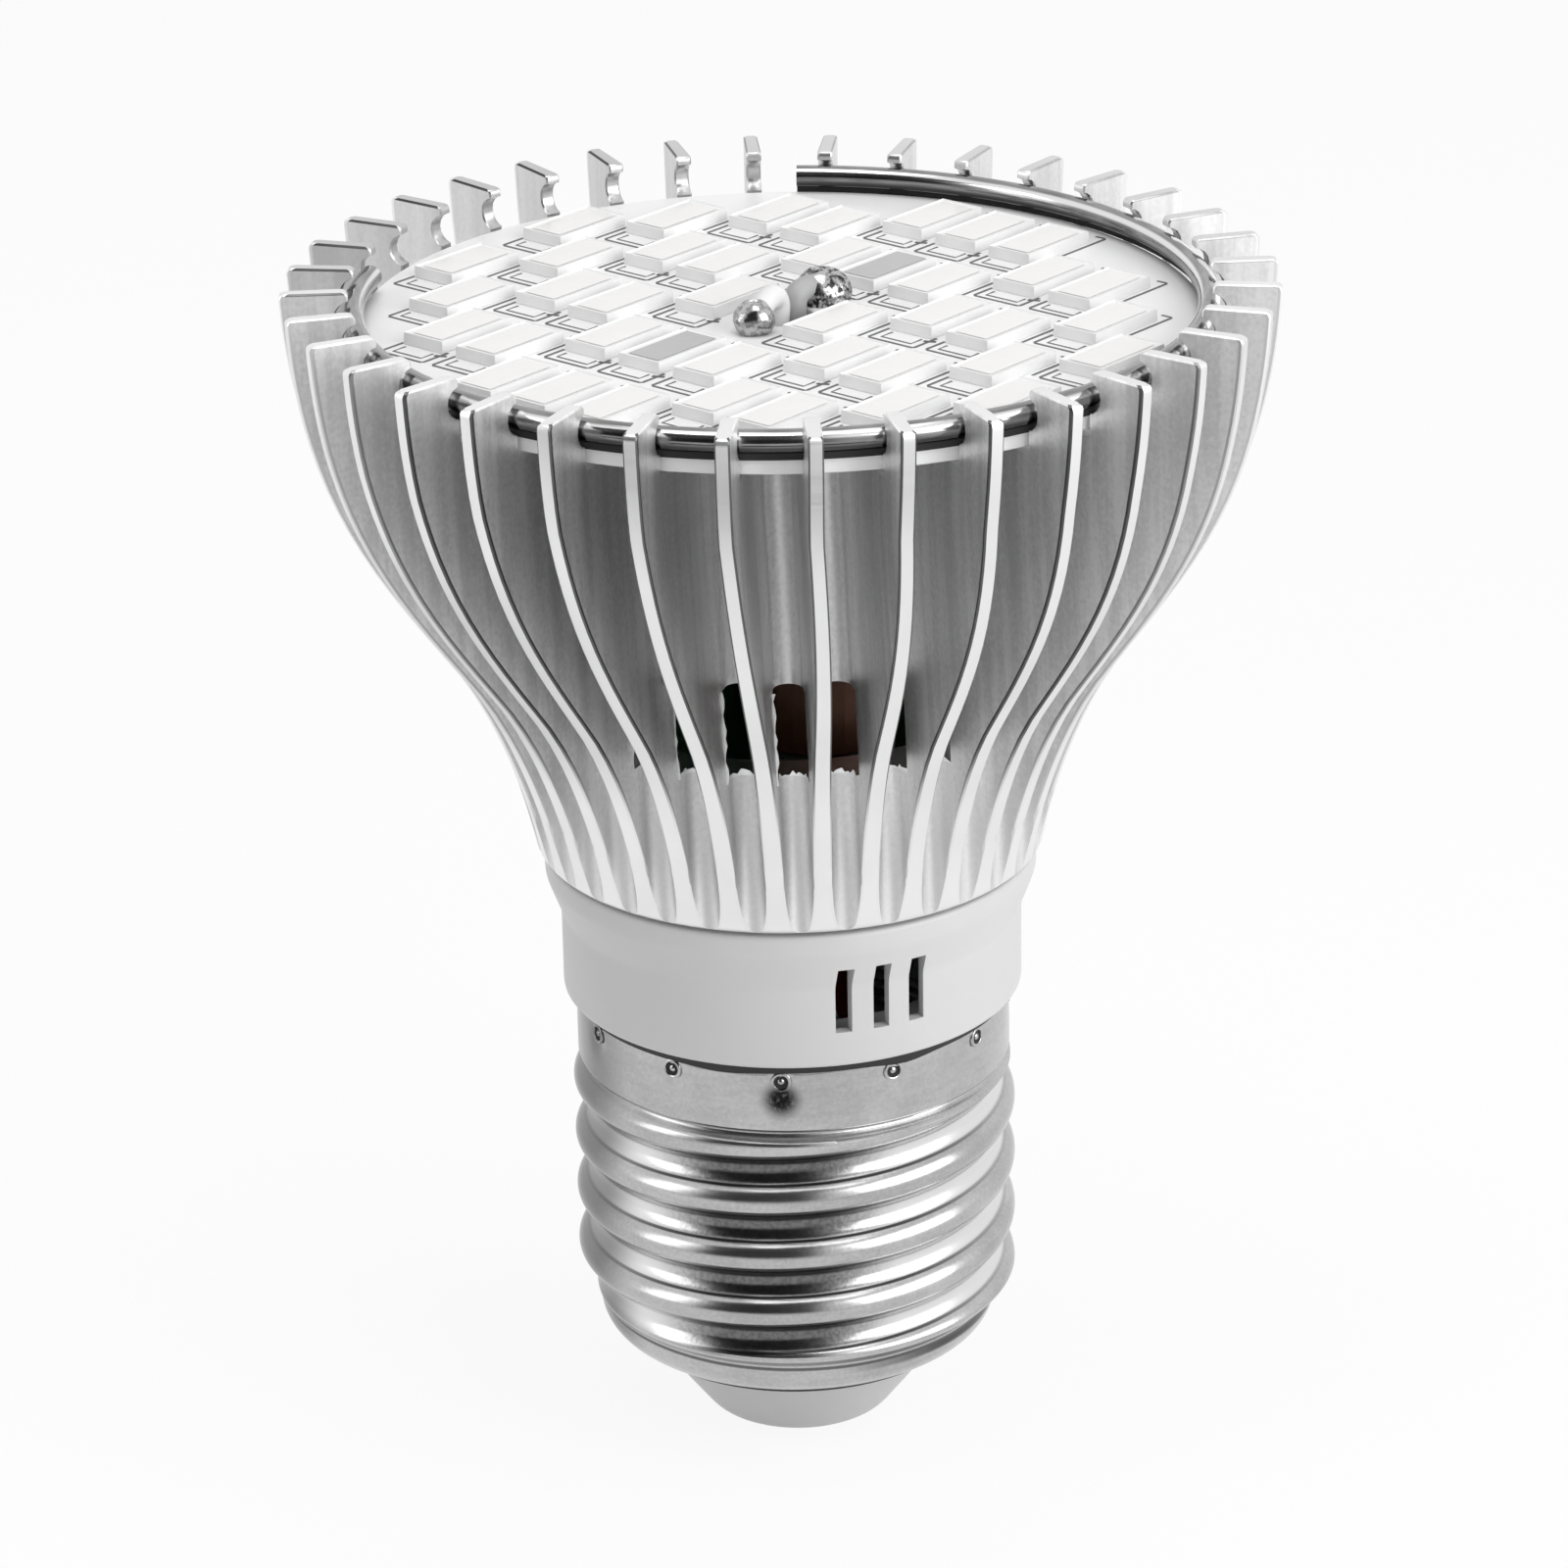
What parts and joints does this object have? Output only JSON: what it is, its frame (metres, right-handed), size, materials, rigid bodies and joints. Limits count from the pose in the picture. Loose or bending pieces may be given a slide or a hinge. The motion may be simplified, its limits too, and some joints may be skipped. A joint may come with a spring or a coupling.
{
  "type": "grow light bulb",
  "caption": "Screw-cap grow light bulb with a bell-shaped finned aluminium heatsink and an open round board of LEDs held by a wire ring on top.",
  "frame": {"origin": "centre of the lower face of the cap's centre contact", "axes": "+Z along the bulb's axis from the cap to the LED board, -Y towards the side seen in the picture"},
  "size_m": [0.0566, 0.0566, 0.072],
  "materials": {
    "turned_aluminium": "extruded bar, turned bright outside, streaked along the channels",
    "dark_steel": "polished dark spring steel",
    "white_mask": "white solder mask, satin",
    "white_plastic": "moulded, satin",
    "nickel_plate": "nickel-plated sheet, satin bright",
    "insulator": "moulded, smooth",
    "tinned_brass": "tinned",
    "solder": "frosty solder",
    "white_sleeve": "soft sleeve",
    "fibreglass": "green circuit board",
    "can_sleeve": "sleeved can",
    "ferrite": "dark ferrite",
    "enamelled_copper": "enamelled copper wire",
    "moulded_black": "moulded",
    "resistor_coat": "coated",
    "lead_insulation": "insulated wire",
    "led_package": "white package with a pale window"
  },
  "bodies": {
    "root": {"heatsink": "turned_aluminium", "retaining_ring": "dark_steel", "led_board": "white_mask", "neck_housing": "white_plastic", "screw_shell": "nickel_plate", "insulating_cone": "insulator", "centre_contact": "tinned_brass", "solder_joint_a": "solder", "solder_joint_b": "solder", "led_lead_a": "white_sleeve", "led_lead_b": "white_sleeve", "driver_board": "fibreglass", "electrolytic_capacitor": "can_sleeve", "choke_core": "ferrite", "choke_winding": "enamelled_copper", "bridge_rectifier": "moulded_black", "fusible_resistor": "resistor_coat", "contact_lead": "lead_insulation", "shell_lead": "lead_insulation", "led_01": "led_package", "led_02": "led_package", "led_03": "led_package", "led_04": "led_package", "led_05": "led_package", "led_06": "led_package", "led_07": "led_package", "led_08": "led_package", "led_09": "led_package", "led_10": "led_package", "led_11": "led_package", "led_12": "led_package", "led_13": "led_package", "led_14": "led_package", "led_15": "led_package", "led_16": "led_package", "led_17": "led_package", "led_18": "led_package", "led_19": "led_package", "led_20": "led_package", "led_21": "led_package", "led_22": "led_package", "led_23": "led_package", "led_24": "led_package", "led_25": "led_package", "led_26": "led_package", "led_27": "led_package", "led_28": "led_package", "led_29": "led_package", "led_30": "led_package", "led_31": "led_package", "led_32": "led_package", "led_33": "led_package", "led_34": "led_package", "led_35": "led_package", "led_36": "led_package", "led_37": "led_package", "led_38": "led_package", "led_39": "led_package", "led_40": "led_package"}
  },
  "joints": []
}
